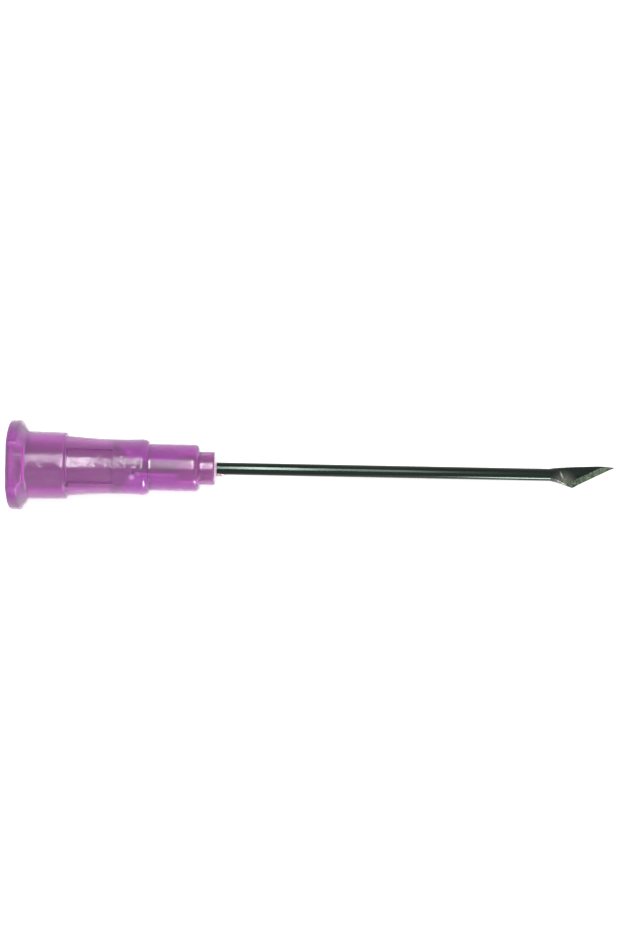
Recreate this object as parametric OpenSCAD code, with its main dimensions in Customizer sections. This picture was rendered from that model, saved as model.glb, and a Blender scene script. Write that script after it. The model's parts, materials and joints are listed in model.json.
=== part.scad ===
// Subcision needle: a moulded Luer-lock hub, the adhesive in its nose, and a steel tube whose end is
// swaged flat and ground to a slanted blade. All sizes are in millimetres.
// Each piece is drawn along its own axis from the middle of the Luer mouth: +X runs to the tip, the
// lugs point along Y, and the blade lies flat in XY with its heel towards -Y. at_rest() then leans
// the needle about the mouth until the flange's lower flat and the tube touch one level surface.

/* [Luer flange] */
// Width across the two lugs
lug_span = 7.8; // [7.5:0.05:8]
// Width across the two flats between the lugs
flat_span = 6.8; // [6.5:0.05:7.1]
// Length of the lugs along the axis, at their crown
crown_len = 0.92; // [0.7:0.02:1.1]
// Lean of the lugs' rear flank from square
flank_angle = 34; // [20:1:40]
// Fillet between the rear flank and the barrel
flank_fillet = 0.35; // [0.1:0.05:0.5]
// Rounding of the lugs on the mouth side
lug_round = 0.2; // [0.05:0.05:0.35]
// Chamfer of the flats on the mouth side
rim_chamfer = 0.2; // [0.05:0.05:0.3]
// Width of the square-backed pad between the lugs
pad_w = 3.5; // [2.5:0.1:3.7]
// Length of that pad along the axis
pad_len = 1.38; // [1.25:0.01:1.5]

/* [Luer socket] */
// Diameter of the socket at its mouth
socket_d = 4.3; // [4.1:0.02:4.5]
// Taper of the socket, as loss of diameter per millimetre of depth
socket_taper = 0.06; // [0.05:0.005:0.07]
// Depth of the tapered wall
socket_depth = 8.7; // [7.5:0.1:9.5]
// Chamfer that leads into the socket
lead_in = 0.15; // [0.05:0.05:0.25]
// Length of the funnel from the socket to the tube's bore
funnel_len = 2.45; // [1.5:0.05:3]

/* [Hub outside] */
// Barrel diameter behind the flange
barrel_rear_d = 5.9; // [5.7:0.02:6.1]
// Barrel diameter at the step
barrel_front_d = 5.78; // [5.6:0.02:5.9]
// Length of the barrel from the lugs' root to the step
barrel_len = 3.35; // [2.5:0.05:4.5]
// Rounding of the edge and of the corner at the step
step_round = 0.1; // [0.02:0.01:0.12]
// Diameter of the waisted part at the step
waist_rear_d = 5.26; // [5.1:0.02:5.4]
// Diameter of the waist at its narrowest
waist_d = 4.76; // [4.6:0.02:5]
// Length of the waisted part
waist_len = 7.15; // [6:0.05:8.5]
// How far the narrowest place lies behind the shoulder
waist_setback = 2.7; // [2:0.05:3.5]
// Length of the rounding at the shoulder
shoulder_round_len = 0.6; // [0.2:0.05:1]
// Diameter of the front part
front_d = 4.08; // [3.9:0.02:4.3]
// Length of the front part
front_len = 4.35; // [3.5:0.05:5.5]
// Rounding of the front part's edge
front_round = 0.4; // [0.1:0.05:0.5]
// Diameter of the nose
nose_d = 2.9; // [2.7:0.02:3.2]
// Length of the nose
nose_len = 1.33; // [1:0.05:2]
// Chamfer of the nose
nose_chamfer = 0.12; // [0.02:0.02:0.16]

/* [Side panels] */
// Length of the sunken panel on each side
panel_len = 3.95; // [3:0.05:4.5]
// Width of the panel
panel_w = 3.06; // [2.4:0.02:3.4]
// Depth of the panel below the waisted surface
panel_depth = 0.18; // [0.05:0.01:0.25]
// Strip left between the step and the panel
panel_setback = 0.16; // [0.14:0.01:0.4]

/* [Adhesive] */
// Diameter of the well in the nose
well_d = 2.3; // [2:0.02:2.5]
// Depth of the well
well_depth = 3.2; // [2.5:0.05:4]
// How far the adhesive domes out of the nose
dome_h = 0.23; // [0.05:0.01:0.4]
// Length of the drip that ran out along the tube
drip_len = 1.05; // [0.5:0.05:1.5]
// Width of the drip
drip_d = 0.62; // [0.5:0.02:0.8]
// How far the drip stands proud of the tube
drip_proud = 0.16; // [0.1:0.01:0.25]
// Clearance round the adhesive
bond_gap = 0.01; // [0.005:0.005:0.03]

/* [Tube] */
// Outside diameter of the tube
tube_d = 1.07; // [0.8:0.01:1.3]
// Wall of the tube
tube_wall = 0.19; // [0.1:0.01:0.22]
// Length of the tube and blade outside the nose
free_len = 34.8; // [20:0.1:60]
// Clearance round the tube in the hub's bore
bore_gap = 0.02; // [0.01:0.005:0.04]

/* [Blade] */
// Length of the swaged end, from where it leaves the round to the tip
blade_len = 5.7; // [5:0.05:7]
// Length of the ground edge along the axis, from the heel to the tip
edge_len = 3.74; // [3:0.02:4.5]
// How far the heel lies below the axis
heel_drop = 1.12; // [0.8:0.02:1.3]
// Height of the spine's crest above the axis
crest_h = 0.82; // [0.7:0.02:0.95]
// Distance from the crest to the tip
crest_setback = 1.3; // [0.8:0.05:1.8]
// Height of the tip above the axis
tip_h = 0.73; // [0.4:0.01:0.8]
// Thickness of the flattened tube
blade_t = 0.4; // [0.36:0.01:0.6]
// Width of each ground bevel
bevel_w = 0.55; // [0.3:0.01:0.8]
// Height of the flattened bore between the two walls
slit_h = 0.02; // [0.02:0.01:0.1]

/* [Hidden] */
$fn = 96;

// Radii
lug_r = lug_span / 2;
flat_r = flat_span / 2;
barrel_rear_r = barrel_rear_d / 2;
barrel_front_r = barrel_front_d / 2;
waist_rear_r = waist_rear_d / 2;
waist_r = waist_d / 2;
front_r = front_d / 2;
nose_r = nose_d / 2;
socket_r = socket_d / 2;
well_r = well_d / 2;
tube_r = tube_d / 2;
bore_r = tube_r + bore_gap;

// Stations along the axis, from the mouth
root_x = crown_len + (lug_r - barrel_rear_r) * tan(flank_angle);
step_x = root_x + barrel_len;
shoulder_x = step_x + waist_len;
waist_x = shoulder_x - waist_setback;
front_x = shoulder_x + front_len;
nose_x = front_x + nose_len;
funnel_end_x = socket_depth + funnel_len;
well_x = nose_x - well_depth;
panel_x = step_x + panel_setback;
tip_x = nose_x + free_len;
swage_x = tip_x - blade_len;
heel_x = tip_x - edge_len;
crest_x = tip_x - crest_setback;

// Lean at which the pad's lower edge and the end of the round tube lie on one level surface
rest_lean = atan((flat_r - tube_r) / (swage_x - pad_len));

// How far a cut runs past the face that it leaves
past = 0.5;
// How much smaller a many-sided section is than the round that it joins
facet_gap = 0.002;

function radius_at(x) = waist_r + (waist_rear_r - waist_r) * pow((x - waist_x) / (step_x - waist_x), 2);

// Points on an elliptical arc in the (radius, station) plane
function arc(centre_r, centre_x, radial, axial, from, to, steps = 5) = [
    for (i = [0:steps])
        let (a = from + (to - from) * i / steps)
        [centre_r + radial * cos(a), centre_x + axial * sin(a)]
];

module at_rest() {
    rotate([0, rest_lean, 0]) children();
}

// A revolved piece, its profile given as (radius, station) pairs
module turned(profile) {
    rotate([0, 90, 0]) rotate_extrude() polygon(profile);
}

// The hub's outside, from the mouth face to the nose
function hub_profile() =
    let (
        turn = 90 - flank_angle,
        step_drop = barrel_front_r - waist_rear_r,
        step_edge = min(step_round, step_drop / 2.2),
        shoulder_r = radius_at(shoulder_x - shoulder_round_len),
        shoulder_drop = 0.85 * (shoulder_r - front_r),
        waist_steps = 12,
        waist_from = step_x + step_edge,
        waist_to = shoulder_x - shoulder_round_len
    )
    concat(
        [[0, 0]],
        arc(lug_r - lug_round, lug_round, lug_round, lug_round, -90, 0),
        [[lug_r, crown_len]],
        arc(barrel_rear_r + flank_fillet, root_x + flank_fillet * tan(turn / 2),
            flank_fillet, flank_fillet, 180 + turn, 180),
        arc(barrel_front_r - step_edge, step_x - step_edge, step_edge, step_edge, 0, 90, 3),
        arc(waist_rear_r + step_edge, step_x + step_edge, step_edge, step_edge, 270, 180, 3),
        [for (i = [1:waist_steps - 1])
            let (x = waist_from + (waist_to - waist_from) * i / waist_steps)
            [radius_at(x), x]],
        arc(shoulder_r - shoulder_drop, waist_to, shoulder_drop, shoulder_round_len, 0, 90, 6),
        [[front_r, shoulder_x]],
        arc(front_r - front_round, front_x - front_round, front_round, front_round, 0, 90),
        [[nose_r, front_x], [nose_r, nose_x - nose_chamfer], [nose_r - nose_chamfer, nose_x], [0, nose_x]]
    );

// The hub's inside: Luer socket, funnel, bore for the tube and well for the adhesive
function hub_bore_profile() = [
    [0, -past],
    [socket_r + lead_in + past, -past],
    [socket_r - socket_taper / 2 * lead_in, lead_in],
    [socket_r - socket_taper / 2 * socket_depth, socket_depth],
    [bore_r, funnel_end_x],
    [bore_r, well_x],
    [well_r, well_x],
    [well_r, nose_x + past],
    [0, nose_x + past]
];

// Cuts one flat of the flange, with its chamfer at the mouth
module flat_cut() {
    reach = lug_r + past;
    rotate([90, 0, 0]) linear_extrude(2 * reach, center = true) polygon([
        [-past, flat_r - rim_chamfer - past],
        [rim_chamfer, flat_r],
        [root_x + past, flat_r],
        [root_x + past, reach],
        [-past, reach]
    ]);
}

// Cuts one sunken panel, whose floor follows the waisted surface
module panel_cut() {
    floor_steps = 8;
    floor_from = panel_x - past;
    floor_to = panel_x + panel_len + past;
    difference() {
        translate([panel_x, -panel_w / 2, waist_r / 2]) cube([panel_len, panel_w, barrel_rear_r]);
        turned(concat(
            [[0, floor_from]],
            [for (i = [0:floor_steps])
                let (x = floor_from + (floor_to - floor_from) * i / floor_steps)
                [radius_at(x) - panel_depth, x]],
            [[0, floor_to]]
        ));
    }
}

module hub() {
    color([0.69, 0.42, 0.70]) at_rest() difference() {
        union() {
            turned(hub_profile());
            translate([0, -pad_w / 2, -lug_r]) cube([pad_len, pad_w, lug_span]);
        }
        turned(hub_bore_profile());
        for (side = [0, 180]) {
            rotate([side, 0, 0]) {
                flat_cut();
                panel_cut();
            }
        }
    }
}

// The adhesive fills the well round the tube, domes out of the nose and has one drip along the tube
module adhesive() {
    fill_r = well_r - bond_gap;
    dome_steps = 6;
    drip_steps = 8;
    drip_r = drip_d / 2;
    drip_from = nose_x - drip_r;
    drip_span = drip_len + drip_r;
    color([0.86, 0.84, 0.90]) at_rest() difference() {
        union() {
            turned(concat(
                [[0, well_x + bond_gap], [fill_r, well_x + bond_gap]],
                [for (i = [0:dome_steps])
                    let (share = 1 - i / dome_steps)
                    [fill_r * share, nose_x + dome_h * (1 - share * share)]]
            ));
            translate([0, drip_r - tube_r - drip_proud, 0]) turned([
                for (i = [0:drip_steps])
                    let (share = i / drip_steps)
                    [drip_r * sqrt(sin(180 * share)), drip_from + drip_span * share]
            ]);
        }
        turned([
            [0, well_x - past],
            [tube_r + bond_gap, well_x - past],
            [tube_r + bond_gap, nose_x + drip_len + past],
            [0, nose_x + drip_len + past]
        ]);
    }
}

// Edges of the swaged end, measured across the axis at a station
function spine_at(x) =
    x <= swage_x ? tube_r
    : x <= crest_x ? tube_r + (crest_h - tube_r) * pow((x - swage_x) / (crest_x - swage_x), 0.6)
    : crest_h + (tip_h - crest_h) * (x - crest_x) / crest_setback;
function flare_at(x) =
    x <= swage_x ? 0 : min(1, (x - swage_x) / (heel_x - swage_x));
function belly_at(x) = -tube_r - (heel_drop - tube_r) * pow(flare_at(x), 1.2);

// How far the round has been pressed flat at a station, from 0 to 1
function pressed_at(x) = let (f = flare_at(x)) f * f * (3 - 2 * f);

// A section of the swaged end: two half rounds joined by flats, inset from the outside by wall
function section(x, wall, half_t, sides) =
    let (
        top = spine_at(x) - wall,
        bottom = belly_at(x) + wall,
        round_h = tube_r - wall,
        half = round_h + (half_t - round_h) * pressed_at(x) - facet_gap,
        middle = (top + bottom) / 2,
        reach = (top - bottom) / 2 - facet_gap - half
    )
    [for (i = [0:sides - 1])
        let (a = 360 * (i + 0.5) / sides)
        [x, middle + sign(cos(a)) * reach + half * cos(a), half * sin(a)]];

// A closed skin through a list of sections that all have the same number of points
module lofted(sections) {
    rings = len(sections);
    sides = len(sections[0]);
    polyhedron(
        points = [for (s = sections) each s],
        faces = concat(
            [[for (i = [0:sides - 1]) i]],
            [for (r = [0:rings - 2], i = [0:sides - 1])
                let (j = (i + 1) % sides)
                each [
                    [r * sides + i, (r + 1) * sides + i, (r + 1) * sides + j],
                    [r * sides + i, (r + 1) * sides + j, r * sides + j]
                ]],
            [[for (i = [sides - 1:-1:0]) (rings - 1) * sides + i]]
        )
    );
}

// Stations of the swaged end: close where it flares, wider along the blade
function blade_stations(overlap, overrun) = concat(
    [swage_x - overlap],
    [for (i = [0:10]) swage_x + (heel_x - swage_x) * i / 10],
    [for (i = [1:4]) heel_x + (crest_x - heel_x) * i / 4],
    [tip_x + overrun]
);

// What the grinding leaves: full thickness at the spine, both bevels down to the cutting edge
module ground_edge() {
    edge_angle = atan((tip_h + heel_drop) / edge_len);
    // The wedge is drawn thicker than the round tube, so its height and its bevels grow alike
    grow = 3 * tube_d / blade_t;
    reach = 3 * (crest_h + heel_drop);
    translate([heel_x, -heel_drop, 0]) rotate([0, 0, edge_angle])
        rotate([90, 0, 90]) translate([0, 0, -blade_len]) linear_extrude(3 * blade_len) polygon([
            [0, 0],
            [grow * bevel_w, grow * blade_t / 2],
            [reach, grow * blade_t / 2],
            [reach, -grow * blade_t / 2],
            [grow * bevel_w, -grow * blade_t / 2]
        ]);
}

// The round length of the tube, from the funnel to where it is pressed flat
module round_tube() {
    round_len = swage_x - funnel_end_x;
    difference() {
        translate([funnel_end_x, 0, 0]) rotate([0, 90, 0]) cylinder(h = round_len, r = tube_r);
        translate([funnel_end_x - past, 0, 0]) rotate([0, 90, 0])
            cylinder(h = round_len + 2 * past, r = tube_r - tube_wall);
    }
}

// The pressed end before it is ground; its bore narrows to a slit between the two walls
module swaged_end() {
    overlap = 0.1;
    sides = 32;
    difference() {
        lofted([for (x = blade_stations(overlap, past)) section(x, 0, blade_t / 2, sides)]);
        lofted([for (x = blade_stations(2 * overlap, 2 * past)) section(x, tube_wall, slit_h / 2, sides)]);
    }
}

module cannula() {
    color([0.42, 0.46, 0.43]) at_rest() {
        round_tube();
        intersection() {
            swaged_end();
            ground_edge();
        }
    }
}

hub();
adhesive();
cannula();
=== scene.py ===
# The subcision needle, lying on a table as it comes to rest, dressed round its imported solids.
# Sizes are in millimetres until a finished mesh is laid in place, and every piece is drawn along the
# needle's own axis: +X from the middle of the Luer mouth to the tip, +Y across, +Z off the table.
import json
import math

import bmesh
import bpy
from mathutils import Matrix, Vector


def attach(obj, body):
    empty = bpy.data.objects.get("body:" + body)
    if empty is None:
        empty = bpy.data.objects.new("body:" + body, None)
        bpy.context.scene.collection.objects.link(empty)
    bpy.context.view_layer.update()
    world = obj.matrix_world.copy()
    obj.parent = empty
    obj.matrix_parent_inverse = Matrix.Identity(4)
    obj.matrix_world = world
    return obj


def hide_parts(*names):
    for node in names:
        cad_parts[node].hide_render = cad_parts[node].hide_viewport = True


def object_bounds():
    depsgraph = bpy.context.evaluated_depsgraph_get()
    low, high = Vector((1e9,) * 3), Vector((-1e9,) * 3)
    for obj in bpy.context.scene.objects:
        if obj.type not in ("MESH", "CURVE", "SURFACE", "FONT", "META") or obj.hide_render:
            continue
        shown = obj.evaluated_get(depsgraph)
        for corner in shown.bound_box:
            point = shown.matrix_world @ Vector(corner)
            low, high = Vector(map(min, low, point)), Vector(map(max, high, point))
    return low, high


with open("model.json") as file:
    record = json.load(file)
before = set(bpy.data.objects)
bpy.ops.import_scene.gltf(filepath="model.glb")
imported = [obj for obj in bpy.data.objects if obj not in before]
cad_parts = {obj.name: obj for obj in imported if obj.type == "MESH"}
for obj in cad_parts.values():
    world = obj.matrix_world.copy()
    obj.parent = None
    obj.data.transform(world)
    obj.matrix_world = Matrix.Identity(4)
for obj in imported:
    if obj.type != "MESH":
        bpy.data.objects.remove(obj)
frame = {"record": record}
cad_low, cad_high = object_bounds()

# Where the needle lies
# The wide flange props the hub up, so the needle's own axis falls a few degrees towards the tip. The
# record's mount points out of the mouth along that axis, and the mouth's middle is the origin.
MM = 0.001
mouth_out = Vector(frame["record"]["mounts"][0]["axis"]).normalized()
along = -mouth_out
across = Vector((0, 1, 0))
off_table = along.cross(across)
own_axes = Matrix((along, across, off_table)).transposed().to_4x4()
lay_down = own_axes @ Matrix.Scale(MM, 4)

# Camera
# It looks square onto the needle from above, turned a little so that the needle falls to the right.
# The photograph is 621 by 931 pixels and shows the hub at 11.5 pixels to the millimetre; the bow of
# the flange's rim in it gives the distance.
PHOTO_W = 621
PHOTO_H = 931
PIXELS_PER_MM = 11.5
MOUTH_PIXEL_X = 11.0
AXIS_PIXEL_Y = 470.2
camera_distance = 165
camera_turn = math.radians(1.1)
sensor = 36
centre_station = (PHOTO_W / 2 - MOUTH_PIXEL_X) / PIXELS_PER_MM
centre_across = (AXIS_PIXEL_Y - PHOTO_H / 2) / PIXELS_PER_MM
camera_data = bpy.data.cameras.new("camera")
camera_data.sensor_width = sensor
camera_data.lens = sensor * camera_distance / (PHOTO_H / PIXELS_PER_MM)
camera_data.clip_start = 0.005
camera_data.clip_end = 10
camera = bpy.data.objects.new("camera", camera_data)
camera_place = lay_down @ Vector((centre_station, centre_across, camera_distance))
camera.matrix_world = Matrix.Translation(camera_place) @ own_axes @ Matrix.Rotation(camera_turn, 4, "Z")
bpy.context.scene.collection.objects.link(camera)
bpy.context.scene.camera = camera
bpy.context.scene.view_settings.view_transform = "Standard"


# Table and world
# A white laminate top and a plain pale room. Rays that the eye follows straight, by mirror or through
# the plastic see white, and the top is still lit and shaded, so it keeps the needle's soft shadow.
def srgb(code):
    """A hex colour as the linear colour that a shader takes."""
    values = [int(code[i:i + 2], 16) / 255 for i in (1, 3, 5)]
    return [v / 12.92 if v <= 0.04045 else ((v + 0.055) / 1.055) ** 2.4 for v in values] + [1]


def add_node(tree, kind, inputs=None, **settings):
    """Adds a node, with a value or another node's output for each input that is named."""
    node = tree.nodes.new(kind)
    for name, value in settings.items():
        setattr(node, name, value)
    for socket, value in (inputs or {}).items():
        if isinstance(value, bpy.types.NodeSocket):
            tree.links.new(value, node.inputs[socket])
        else:
            node.inputs[socket].default_value = value
    return node


def seen_directly(tree):
    """1 for camera, mirror and see-through rays, and 0 for the rest."""
    path = add_node(tree, "ShaderNodeLightPath")
    seen = path.outputs["Is Camera Ray"]
    for other in ("Is Glossy Ray", "Is Transmission Ray"):
        either = add_node(tree, "ShaderNodeMath", {0: seen, 1: path.outputs[other]}, operation="MAXIMUM")
        seen = either.outputs[0]
    return seen


table_half = 1500
table_glow = 0.5
bm = bmesh.new()
bmesh.ops.create_grid(bm, x_segments=1, y_segments=1, size=table_half * MM)
bmesh.ops.translate(bm, vec=(0, 0, cad_low.z), verts=bm.verts)
table_mesh = bpy.data.meshes.new("table_top")
bm.to_mesh(table_mesh)
bm.free()
table_top = bpy.data.objects.new("table_top", table_mesh)
bpy.context.scene.collection.objects.link(table_top)

# White melamine laminate: matt and even, with the glow of a well-lit top where the eye sees it.
laminate = bpy.data.materials.new("white_laminate")
laminate.use_nodes = True
tree = laminate.node_tree
tree.nodes.clear()
lit = add_node(tree, "ShaderNodeBsdfDiffuse", {"Color": srgb("#e8e8e8")})
glow_level = add_node(
    tree, "ShaderNodeMath", {0: seen_directly(tree), 1: table_glow}, operation="MULTIPLY"
)
glow = add_node(tree, "ShaderNodeEmission", {"Strength": glow_level.outputs[0]})
both = add_node(tree, "ShaderNodeAddShader", {0: lit.outputs[0], 1: glow.outputs[0]})
add_node(tree, "ShaderNodeOutputMaterial", {"Surface": both.outputs[0]})
table_mesh.materials.append(laminate)

room_light = 0.35
world = bpy.data.worlds.new("pale_room")
bpy.context.scene.world = world
world.use_nodes = True
tree = world.node_tree
tree.nodes.clear()
room_level = add_node(
    tree, "ShaderNodeMapRange", {"Value": seen_directly(tree), "To Min": room_light, "To Max": 1}
)
sky = add_node(
    tree, "ShaderNodeBackground", {"Color": srgb("#ffffff"), "Strength": room_level.outputs["Result"]}
)
add_node(tree, "ShaderNodeOutputWorld", {"Surface": sky.outputs[0]})


# Lamps
# Five soft white panels. One lays the highlight along the hub, two the streak along the tube, which
# fades towards the tip, one the bright line under the tube's far end, and one fills the lower side.
def add_panel(name, station, tilt, size, radiance):
    """A soft white panel over a station of the needle, tilted off its vertical and facing it."""
    data = bpy.data.lights.new(name, "AREA")
    data.shape = "RECTANGLE"
    data.size = size[0] * MM
    data.size_y = size[1] * MM
    data.energy = radiance * math.pi * data.size * data.size_y
    lamp = bpy.data.objects.new(name, data)
    back = across * math.sin(math.radians(tilt)) + off_table * math.cos(math.radians(tilt))
    start = lay_down @ Vector((station, 0, 0)) + back * panel_distance * MM
    lamp.matrix_world = (
        Matrix.Translation(start) @ Matrix((along, back.cross(along), back)).transposed().to_4x4()
    )
    bpy.context.scene.collection.objects.link(lamp)


panel_distance = 170
add_panel("hub_panel", station=-20, tilt=24, size=(20, 82), radiance=13)
add_panel("tube_panel", station=17.5, tilt=16, size=(11, 130), radiance=40)
add_panel("tail_panel", station=36, tilt=16, size=(26, 100), radiance=6)
add_panel("edge_panel", station=75, tilt=-78, size=(40, 60), radiance=36)
add_panel("fill_panel", station=-45, tilt=-45, size=(80, 160), radiance=0.8)


# Hub
# One injection moulding in translucent lilac polypropylene: a flange with two lock lugs, a stepped and
# waisted grip with a sunken panel on each side, and a nose. Its core pins leave the Luer socket, the
# funnel, the tube's bore and the adhesive's well. It is turned, and its flange and panels then pressed.
lug_r = 3.9
flat_r = 3.4
lug_round = 0.2
crown_len = 0.92
flank_angle = math.radians(34)
rim_chamfer = 0.2
pad_half = 1.75
pad_len = 1.38
socket_r = 2.15
socket_slope = 0.03
socket_depth = 8.7
lead_in = 0.15
funnel_end = 11.15
barrel_rear_r = 2.95
barrel_front_r = 2.89
barrel_len = 3.35
waist_rear_r = 2.63
waist_r = 2.38
waist_len = 7.15
waist_to_shoulder = 2.7
shoulder_round = 0.6
shoulder_share = 0.85
front_r = 2.04
front_len = 4.35
nose_r = 1.45
nose_len = 1.33
bore_r = 0.555
well_r = 1.15
well_len = 3.2
panel_setback = 0.16
panel_len = 3.95
panel_half = 1.53
panel_depth = 0.18
panel_draft = 0.05
pad_fold = 0.5
arc_steps = 6
hub_steps = 300
hub_edge = 0.25
crease_angle = math.radians(35)
root_x = crown_len + (lug_r - barrel_rear_r) * math.tan(flank_angle)
step_x = root_x + barrel_len
shoulder_x = step_x + waist_len
waist_x = shoulder_x - waist_to_shoulder
front_x = shoulder_x + front_len
nose_x = front_x + nose_len
well_x = nose_x - well_len
panel_x = step_x + panel_setback
panel_end_x = panel_x + panel_len


def put_in_order(bm):
    """Sorts the points and faces by place, because the operators number them anew on each run."""
    by_place = sorted(bm.verts, key=lambda vert: vert.co.to_tuple(4))
    rank = {vert: number for number, vert in enumerate(by_place)}
    bm.verts.sort(key=rank.get)
    by_place = sorted(bm.faces, key=lambda face: face.calc_center_median().to_tuple(4))
    rank = {face: number for number, face in enumerate(by_place)}
    bm.faces.sort(key=rank.get)


def turned(corners, longest, around):
    """Turns a closed outline round the axis, with its edges cut into lengths under the longest.

    Its corners are (station, radius, reach of the rounding).
    """
    bm = bmesh.new()
    verts = [bm.verts.new((x, 0, r)) for x, r, reach in corners]
    bm.faces.new(verts)
    for vert, (x, r, reach) in zip(verts, corners):
        if reach:
            bmesh.ops.bevel(
                bm, geom=[vert], offset=reach, affect="VERTICES", segments=4, profile=0.5, material=-1
            )
    bmesh.ops.delete(bm, geom=bm.faces[:], context="FACES_ONLY")
    for edge in bm.edges[:]:
        cuts = int(edge.calc_length() / longest)
        if cuts:
            bmesh.ops.subdivide_edges(bm, edges=[edge], cuts=cuts)
    bmesh.ops.spin(
        bm, geom=bm.verts[:] + bm.edges[:], cent=(0, 0, 0), axis=(1, 0, 0), angle=math.tau,
        steps=around, use_merge=True, use_duplicate=False,
    )
    bmesh.ops.remove_doubles(bm, verts=bm.verts, dist=1e-5)
    bmesh.ops.recalc_face_normals(bm, faces=bm.faces)
    put_in_order(bm)
    return bm


def waisted(x):
    """Radius of the waisted part at a station."""
    return waist_r + (waist_rear_r - waist_r) * ((x - waist_x) / (step_x - waist_x)) ** 2


def finish_piece(bm, name, node, materials):
    """Lays a finished mesh in the needle's place, on the one body, in place of its solid."""
    for face in bm.faces:
        face.smooth = True
    mesh = bpy.data.meshes.new(name)
    bm.to_mesh(mesh)
    bm.free()
    mesh.set_sharp_from_angle(angle=crease_angle)
    mesh.transform(lay_down)
    for material in materials:
        mesh.materials.append(material)
    piece = bpy.data.objects.new(name, mesh)
    bpy.context.scene.collection.objects.link(piece)
    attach(piece, "root")
    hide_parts(node)


waist_end = shoulder_x - shoulder_round
waist_end_r = waisted(waist_end)


def chord(x):
    """Radius of the straight line that the waist is turned from, before it is bowed in."""
    return waist_rear_r + (waist_end_r - waist_rear_r) * (x - step_x) / (waist_end - step_x)


shoulder_drop = shoulder_share * (waist_end_r - front_r)
shoulder_arc = [
    (waist_end + shoulder_round * math.sin(a), waist_end_r - shoulder_drop * (1 - math.cos(a)), 0)
    for a in [math.radians(90 * i / arc_steps) for i in range(arc_steps + 1)]
]
pad_foot_r = lug_r - (pad_len - crown_len) / math.tan(flank_angle)
fold_r = lug_r + (pad_foot_r - lug_r) * pad_fold
hub_corners = [
    (0, socket_r + lead_in, 0.05),
    (0, lug_r, 0.2),
    (crown_len, lug_r, 0.06),
    (crown_len + (pad_len - crown_len) * pad_fold, fold_r, 0),
    (pad_len, pad_foot_r, 0),
    (root_x, barrel_rear_r, 0.1),
    (step_x, barrel_front_r, 0.1),
    (step_x, waist_rear_r, 0.1),
    *[(x, chord(x), 0) for x in (panel_x, panel_x + panel_draft, panel_end_x - panel_draft, panel_end_x)],
    *shoulder_arc,
    (shoulder_x, front_r, 0.04),
    (front_x, front_r, 0.4),
    (front_x, nose_r, 0.08),
    (nose_x, nose_r, 0.1),
    (nose_x, well_r, 0.03),
    (well_x, well_r, 0.1),
    (well_x, bore_r, 0.03),
    (funnel_end, bore_r, 0.3),
    (socket_depth, socket_r - socket_slope * socket_depth, 0.4),
    (lead_in, socket_r - socket_slope * lead_in, 0.05),
]
inner_rim_r = socket_r + lead_in
bm = turned(hub_corners, hub_edge, hub_steps)
for vert in bm.verts:
    x, y, z = vert.co
    r = math.hypot(y, z)
    if step_x < x < waist_end and r > socket_r:
        # The waist bows in. The rows beside a panel's long edges move onto them, and its floor sinks.
        bowed = waisted(x) - chord(x)
        y *= 1 + bowed / r
        z *= 1 + bowed / r
        r += bowed
        if abs(abs(y) - panel_half) < abs(z) * math.pi / hub_steps:
            y = math.copysign(panel_half, y)
            z = math.copysign(math.sqrt(r * r - y * y), z)
        elif abs(y) < panel_half:
            from_end = min(x - panel_x, panel_end_x - x)
            sunk = panel_depth * min(1, max(0, from_end / panel_draft))
            y *= 1 - sunk / r
            z *= 1 - sunk / r
    elif x < pad_len and r > inner_rim_r:
        # The flange is cut to its two flats, and each flat's pad stands square over the sloping flank.
        flat = flat_r * r / max(abs(z), 1e-6)
        if x < rim_chamfer:
            outer = lug_r - lug_round + math.sqrt(max(0, lug_round ** 2 - (lug_round - x) ** 2))
            limit = min(outer, flat * (flat_r - rim_chamfer + x) / flat_r)
            new_r = inner_rim_r + (r - inner_rim_r) * (limit - inner_rim_r) / (outer - inner_rim_r)
        else:
            new_r = min(r, flat)
            if x > crown_len and r > pad_foot_r and flat * abs(y) / r < pad_half:
                share = (x - crown_len) / (pad_len - crown_len)
                x = min(pad_len, crown_len + (pad_len - crown_len) * share / pad_fold)
                new_r = flat + (pad_foot_r - flat) * max(0, (share - pad_fold) / (1 - pad_fold))
        y *= new_r / r
        z *= new_r / r
    vert.co = (x, y, z)


def spot(tree, place, point, reach):
    """1 at a point of the needle, falling to 0 at the reach, both in its own millimetres."""
    away = add_node(
        tree, "ShaderNodeVectorMath", {0: place.outputs["Object"], 1: lay_down @ Vector(point)},
        operation="DISTANCE",
    )
    near = add_node(
        tree, "ShaderNodeMapRange",
        {"Value": away.outputs["Value"], "From Min": 0, "From Max": reach * MM, "To Min": 1, "To Max": 0},
        interpolation_type="SMOOTHSTEP",
    )
    return near.outputs["Result"]


# Polypropylene dyed lilac and moulded in a polished tool: clear enough to show the tube and the funnel,
# deeper in colour where it is thick, and glossy with low sink waves over the thin walls. The gate left a
# dimple. Beside it, a pale spot is a painted highlight and a dark speck is painted shade. Two more dark
# specks sit in one panel's lower corner and on the flange.
wave_length = 1.3
wave_height = 0.38
relief_height = 0.28
glow_reach = 1
dye_density = 0.9
lilac = bpy.data.materials.new("moulded_polypropylene")
lilac.use_nodes = True
tree = lilac.node_tree
tree.nodes.clear()
place = add_node(tree, "ShaderNodeTexCoord")
waves = add_node(
    tree, "ShaderNodeTexNoise",
    {"Vector": place.outputs["Object"], "Scale": 1 / (wave_length * MM), "Detail": 2},
)
station = add_node(
    tree, "ShaderNodeVectorMath", {0: place.outputs["Object"], 1: along}, operation="DOT_PRODUCT"
)
thin_wall = add_node(
    tree, "ShaderNodeMapRange",
    {
        "Value": station.outputs["Value"], "From Min": panel_end_x * MM, "From Max": funnel_end * MM,
        "To Min": 1, "To Max": 0,
    },
)
sunk_waves = add_node(
    tree, "ShaderNodeMath", {0: waves.outputs["Fac"], 1: thin_wall.outputs["Result"]},
    operation="MULTIPLY",
)
gate = spot(tree, place, (10.8, -0.72, 2.27), 0.4)
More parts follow.
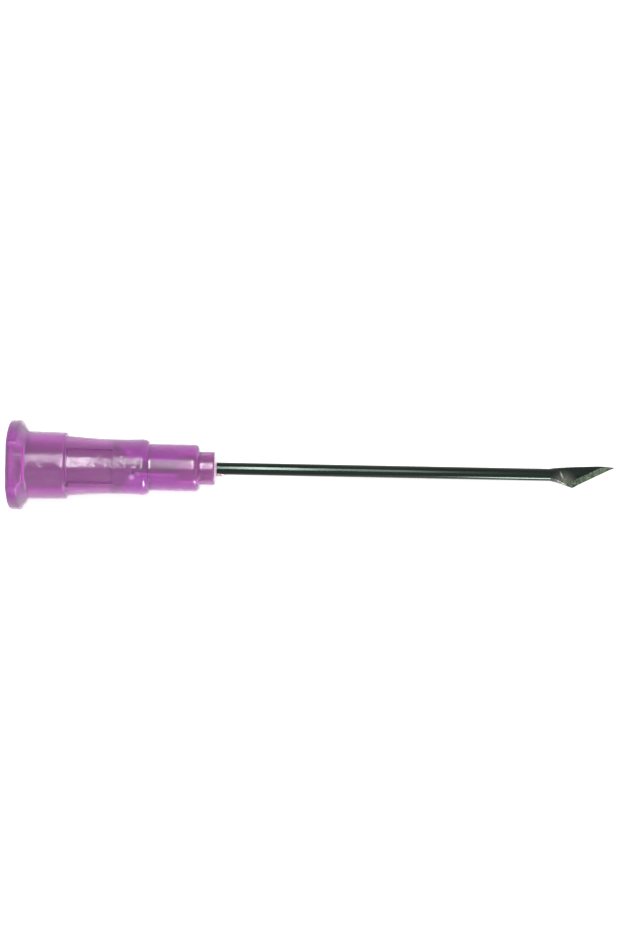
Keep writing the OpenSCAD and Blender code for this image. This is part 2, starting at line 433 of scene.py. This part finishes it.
surface = add_node(tree, "ShaderNodeMath", {0: sunk_waves.outputs[0], 1: gate}, operation="SUBTRACT")
ripples = add_node(
    tree, "ShaderNodeBump", {"Height": surface.outputs[0], "Strength": 0.8, "Distance": wave_height * MM}
)
relief = add_node(
    tree, "ShaderNodeBump", {"Height": surface.outputs[0], "Strength": 0.2, "Distance": relief_height * MM}
)
# Dark specks: the one beside the gate is painted shade on the dimple's far side, and the others sit in a
# panel's lower corner and on the flange.
dark_specks_and_shade = spot(tree, place, (5.08, -1.7, 2.04), 0.36)
for point, reach in (((10.86, -0.46, 2.33), 0.2), ((0.93, -2.65, 2.2), 0.16)):
    more = add_node(
        tree, "ShaderNodeMath", {0: dark_specks_and_shade, 1: spot(tree, place, point, reach)}, operation="MAXIMUM"
    )
    dark_specks_and_shade = more.outputs[0]
dyed_with_specks_and_shade = add_node(
    tree, "ShaderNodeMix",
    {"Factor": dark_specks_and_shade, "A": srgb("#b577b0"), "B": srgb("#200a1e")}, data_type="RGBA",
)
# Painted highlight: a pale spot on the lit side of the gate's dimple.
gate_glint = spot(tree, place, (10.7, -0.86, 2.2), 0.36)
tint = add_node(
    tree, "ShaderNodeMix",
    {"Factor": gate_glint, "A": dyed_with_specks_and_shade.outputs["Result"], "B": srgb("#fff0ff")}, data_type="RGBA",
)
plastic = add_node(
    tree, "ShaderNodeBsdfPrincipled",
    {
        "Base Color": tint.outputs["Result"], "Roughness": 0.2, "IOR": 1.49, "Specular IOR Level": 0.05,
        "Transmission Weight": 0.78, "Subsurface Weight": 1, "Subsurface Radius": (1, 0.6, 1),
        "Subsurface Scale": glow_reach * MM, "Coat Weight": 0.22, "Coat Roughness": 0.1, "Coat IOR": 1.49,
        "Normal": relief.outputs["Normal"], "Coat Normal": ripples.outputs["Normal"],
    },
)
depth = add_node(
    tree, "ShaderNodeVolumeAbsorption", {"Color": srgb("#f400f9"), "Density": dye_density / MM}
)
add_node(
    tree, "ShaderNodeOutputMaterial", {"Surface": plastic.outputs[0], "Volume": depth.outputs[0]}
)
finish_piece(bm, "hub_moulding", "hub", [lilac])


# Adhesive
# An epoxy bond, poured and cured in place. It fills the well round the tube, stands out of the nose in
# a low dome, and one drip ran a millimetre along the tube before it set. It starts as a casting with a
# core, the drip is added, and the tube's hole is cut through both.
tube_r = 0.535
bond_gap = 0.01
dome_h = 0.23
drip_len = 1.05
drip_r = 0.31
drip_proud = 0.16
fill_r = well_r - bond_gap
hole_r = tube_r + bond_gap
core_r = 0.3
dome_steps = 8
casting_steps = 96
casting_edge = 0.3
dome_arc = [
    (nose_x + dome_h * (1 - (r / fill_r) ** 2), r, 0)
    for r in [core_r + (fill_r - core_r) * i / dome_steps for i in range(dome_steps + 1)]
]
well_floor = well_x + bond_gap
casting_corners = [(well_floor, core_r, 0), *dome_arc, (well_floor, fill_r, 0)]
casting = turned(casting_corners, casting_edge, casting_steps)
drip_x = nose_x - drip_r
drip_span = drip_len + drip_r
# The drip is a ball drawn out along the tube and sunk into its side.
drip = bmesh.new()
bmesh.ops.create_uvsphere(drip, u_segments=32, v_segments=24, radius=1)
for vert in drip.verts:
    share = (1 + vert.co.z) / 2
    r = drip_r * math.sqrt(max(0, math.sin(math.pi * share)))
    around = math.atan2(vert.co.y, vert.co.x)
    y = drip_r - tube_r - drip_proud + r * math.cos(around)
    vert.co = (drip_x + drip_span * share, y, r * math.sin(around))
bmesh.ops.remove_doubles(drip, verts=drip.verts, dist=1e-5)
bmesh.ops.recalc_face_normals(drip, faces=drip.faces)
put_in_order(drip)
for face in drip.faces:
    face.material_index = 1
bore = bmesh.new()
bmesh.ops.create_cone(
    bore, cap_ends=True, segments=casting_steps, radius1=hole_r, radius2=hole_r, depth=2 * nose_x,
    matrix=Matrix.Translation((nose_x, 0, 0)) @ Matrix.Rotation(math.pi / 2, 4, "Y"),
)

# Epoxy that clouded as it cured in the well: milky and smooth, with only a little light through it.
cloud_reach = 0.3
milky = bpy.data.materials.new("cured_epoxy")
milky.use_nodes = True
tree = milky.node_tree
tree.nodes.clear()
epoxy = add_node(
    tree, "ShaderNodeBsdfPrincipled",
    {
        "Base Color": srgb("#f4d6e6"), "Roughness": 0.15, "IOR": 1.53, "Transmission Weight": 0.1,
        "Subsurface Weight": 1, "Subsurface Radius": (1, 1, 1), "Subsurface Scale": cloud_reach * MM,
    },
)
add_node(tree, "ShaderNodeOutputMaterial", {"Surface": epoxy.outputs[0]})

# The same epoxy in the thin drip, which set clear: a glassy bead with a faint warm tone.
clear = bpy.data.materials.new("clear_epoxy")
clear.use_nodes = True
tree = clear.node_tree
tree.nodes.clear()
epoxy = add_node(
    tree, "ShaderNodeBsdfPrincipled",
    {"Base Color": srgb("#e0d2da"), "Roughness": 0.05, "IOR": 1.53, "Transmission Weight": 0.95},
)
add_node(tree, "ShaderNodeOutputMaterial", {"Surface": epoxy.outputs[0]})

blanks = []
for name, shape in (("casting", casting), ("drip", drip), ("bore", bore)):
    mesh = bpy.data.meshes.new(name)
    shape.to_mesh(mesh)
    shape.free()
    mesh.materials.append(milky)
    mesh.materials.append(clear)
    blank = bpy.data.objects.new(name, mesh)
    bpy.context.scene.collection.objects.link(blank)
    blanks.append(blank)
for operation, blank in (("UNION", blanks[1]), ("DIFFERENCE", blanks[2])):
    step = blanks[0].modifiers.new(blank.name, "BOOLEAN")
    step.operation = operation
    step.solver = "EXACT"
    step.object = blank
joined = bpy.data.meshes.new_from_object(blanks[0].evaluated_get(bpy.context.evaluated_depsgraph_get()))
bm = bmesh.new()
bm.from_mesh(joined)
for mesh in (joined, *[blank.data for blank in blanks]):
    bpy.data.meshes.remove(mesh)
finish_piece(bm, "nose_adhesive", "adhesive", [milky, clear])


# Cannula
# A drawn stainless tube. Its end was swaged flat and flared to one side, then ground across at a slant
# from both faces, which leaves a straight edge from the heel to the tip and the bore as a fine slit.
tube_wall = 0.19
shaft_len = 34.8
swage_to_tip = 5.7
heel_to_tip = 3.74
crest_to_tip = 1.3
heel_drop = 1.12
crest_h = 0.82
tip_h = 0.73
blade_half = 0.2
bevel_w = 0.55
slit_half = 0.01
overrun = 0.5
tube_edge = 0.25
tube_steps = 64
spine_curve = 0.6
belly_curve = 1.2
inner_r = tube_r - tube_wall
tip_x = nose_x + shaft_len
swage_x = tip_x - swage_to_tip
heel_x = tip_x - heel_to_tip
crest_x = tip_x - crest_to_tip
bm = turned(
    [
        (funnel_end, tube_r, 0.03), (swage_x, tube_r, 0), (tip_x + overrun, tube_r, 0),
        (tip_x + overrun, inner_r, 0), (swage_x, inner_r, 0), (funnel_end, inner_r, 0.03),
    ],
    tube_edge, tube_steps,
)
# The swage: the round section is pressed flat between a rising spine and a belly that flares down to
# the heel, and the wall keeps its thickness round a bore that closes to the slit.
for vert in bm.verts:
    x, y, z = vert.co
    if x > swage_x:
        r = math.hypot(y, z)
        outside = r > tube_r - tube_wall / 2
        wall = 0 if outside else tube_wall
        rise = min(1, (x - swage_x) / (crest_x - swage_x))
        fall = max(0, (x - crest_x) / (tip_x - crest_x))
        spine = tube_r + (crest_h - tube_r) * rise ** spine_curve + (tip_h - crest_h) * fall
        flare = min(1, (x - swage_x) / (heel_x - swage_x))
        belly = -tube_r - (heel_drop - tube_r) * flare ** belly_curve
        pressed = flare * flare * (3 - 2 * flare)
        pressed_half = blade_half if outside else slit_half
        half = r + (pressed_half - r) * pressed
        middle = (spine + belly) / 2
        reach = (spine - belly) / 2 - wall - half
        side = 0 if abs(y) < 1e-5 else math.copysign(1, y)
        vert.co.y = middle + side * reach + half * y / r
        vert.co.z = half * z / r
# The grind: a plane on each side cuts the blade from its mid-plane at the edge to its full thickness.
heel = Vector((heel_x, -heel_drop, 0))
edge_along = (Vector((tip_x, tip_h, 0)) - heel).normalized()
inward = Vector((-edge_along.y, edge_along.x, 0))
for face in bm.faces:
    face.material_index = 0
for side in (1, -1):
    outward = (Vector((0, 0, side * bevel_w)) - inward * blade_half).normalized()
    cut = bmesh.ops.bisect_plane(
        bm, geom=bm.verts[:] + bm.edges[:] + bm.faces[:], plane_co=heel, plane_no=outward,
        clear_outer=True,
    )["geom_cut"]
    rim = [e for e in cut if isinstance(e, bmesh.types.BMEdge)]
    filled = bmesh.ops.triangle_fill(bm, use_beauty=True, use_dissolve=False, edges=rim)["geom"]
    for face in filled:
        if isinstance(face, bmesh.types.BMFace):
            face.material_index = 1
put_in_order(bm)
bmesh.ops.remove_doubles(bm, verts=bm.verts, dist=1e-3)
bmesh.ops.recalc_face_normals(bm, faces=bm.faces)

# Stainless steel drawn through a die: dark and mirror-like with faint lines along it, drawn 60 times as
# long as they are wide. A grey patch on the flare past the swage, broken up by noise, is a painted
# reflection, and a bright slash where the round tube turns flat is a painted highlight. The lines are
# 0.15 mm wide, coarser than real, so that they show.
line_width = 0.15
line_stretch = 60
line_depth = 0.01
reflection_patch_size = 0.15
drawn = bpy.data.materials.new("drawn_stainless_steel")
drawn.use_nodes = True
tree = drawn.node_tree
tree.nodes.clear()
place = add_node(tree, "ShaderNodeTexCoord")
lengthwise = add_node(
    tree, "ShaderNodeMapping",
    {"Vector": place.outputs["Object"], "Rotation": own_axes.to_euler(), "Scale": (line_stretch, 1, 1)},
    vector_type="TEXTURE",
)
lines = add_node(
    tree, "ShaderNodeTexNoise",
    {"Vector": lengthwise.outputs[0], "Scale": 1 / (line_width * MM), "Detail": 2},
)
shades = add_node(
    tree, "ShaderNodeMix",
    {"Factor": lines.outputs["Fac"], "A": srgb("#151a17"), "B": srgb("#353d39")}, data_type="RGBA",
)
# Painted reflection: a grey patch, broken up by noise, on the flare past the swage.
reflection_patches = add_node(
    tree, "ShaderNodeTexNoise",
    {"Vector": place.outputs["Object"], "Scale": 1 / (reflection_patch_size * MM), "Detail": 3},
)
painted_reflection = add_node(
    tree, "ShaderNodeMath", {0: reflection_patches.outputs["Fac"], 1: spot(tree, place, (48.0, -0.85, 0.1), 1.5)},
    operation="MULTIPLY",
)
with_painted_reflection = add_node(
    tree, "ShaderNodeMix",
    {"Factor": painted_reflection.outputs[0], "A": shades.outputs["Result"], "B": srgb("#a3a59c")},
    data_type="RGBA",
)
# Painted highlight: a bright slash where the round tube turns into the flat.
glint_place = add_node(
    tree, "ShaderNodeMapping",
    {
        "Vector": place.outputs["Object"], "Location": lay_down @ Vector((47.85, -0.02, 0.3)),
        "Rotation": (0, 0, math.radians(-66)), "Scale": (0.42, 0.11, 0.3),
    },
    vector_type="TEXTURE",
)
from_glint = add_node(tree, "ShaderNodeVectorMath", {0: glint_place.outputs[0]}, operation="LENGTH")
painted_glint = add_node(
    tree, "ShaderNodeMapRange",
    {"Value": from_glint.outputs["Value"], "From Min": 0, "From Max": MM, "To Min": 1, "To Max": 0},
)
steel_tint = add_node(
    tree, "ShaderNodeMix",
    {"Factor": painted_glint.outputs["Result"], "A": with_painted_reflection.outputs["Result"], "B": srgb("#c9c9bc")},
    data_type="RGBA",
)
ridges = add_node(
    tree, "ShaderNodeBump", {"Height": lines.outputs["Fac"], "Strength": 0.3, "Distance": line_depth * MM}
)
steel = add_node(
    tree, "ShaderNodeBsdfPrincipled",
    {
        "Base Color": steel_tint.outputs["Result"], "Metallic": 1, "Roughness": 0.14,
        "Normal": ridges.outputs["Normal"],
    },
)
add_node(tree, "ShaderNodeOutputMaterial", {"Surface": steel.outputs[0]})

# Stainless steel ground on a coarse wheel: matt, grey-green and grainy, with a dark band of painted shade
# along the edge. The grit is drawn at 0.2 mm, coarser than real, so that it shows.
grit_size = 0.2
grit_depth = 0.02
edge_shade_width = 0.14
ground = bpy.data.materials.new("ground_stainless_steel")
ground.use_nodes = True
tree = ground.node_tree
tree.nodes.clear()
place = add_node(tree, "ShaderNodeTexCoord")
grit = add_node(
    tree, "ShaderNodeTexNoise",
    {"Vector": place.outputs["Object"], "Scale": 1 / (grit_size * MM), "Detail": 2},
)
contrast = add_node(
    tree, "ShaderNodeMapRange", {"Value": grit.outputs["Fac"], "From Min": 0.35, "From Max": 0.65}
)
grains = add_node(
    tree, "ShaderNodeMix",
    {"Factor": contrast.outputs["Result"], "A": srgb("#3a423a"), "B": srgb("#6f7d69")},
    data_type="RGBA",
)
edge_side = (lay_down.to_3x3() @ inward).normalized()
edge_start = (lay_down @ heel).dot(edge_side)
from_edge = add_node(
    tree, "ShaderNodeVectorMath", {0: place.outputs["Object"], 1: edge_side}, operation="DOT_PRODUCT"
)
# Painted shade: a dark band along the ground edge.
edge_shade = add_node(
    tree, "ShaderNodeMapRange",
    {
        "Value": from_edge.outputs["Value"], "From Min": edge_start,
        "From Max": edge_start + edge_shade_width * MM, "To Min": 1, "To Max": 0,
    },
    interpolation_type="SMOOTHSTEP",
)
ground_tint = add_node(
    tree, "ShaderNodeMix",
    {"Factor": edge_shade.outputs["Result"], "A": grains.outputs["Result"], "B": srgb("#2c322d")},
    data_type="RGBA",
)
relief = add_node(
    tree, "ShaderNodeBump", {"Height": grit.outputs["Fac"], "Strength": 0.6, "Distance": grit_depth * MM}
)
steel = add_node(
    tree, "ShaderNodeBsdfPrincipled",
    {
        "Base Color": ground_tint.outputs["Result"], "Metallic": 1, "Roughness": 0.4,
        "Normal": relief.outputs["Normal"],
    },
)
add_node(tree, "ShaderNodeOutputMaterial", {"Surface": steel.outputs[0]})
finish_piece(bm, "ground_cannula", "cannula", [drawn, ground])
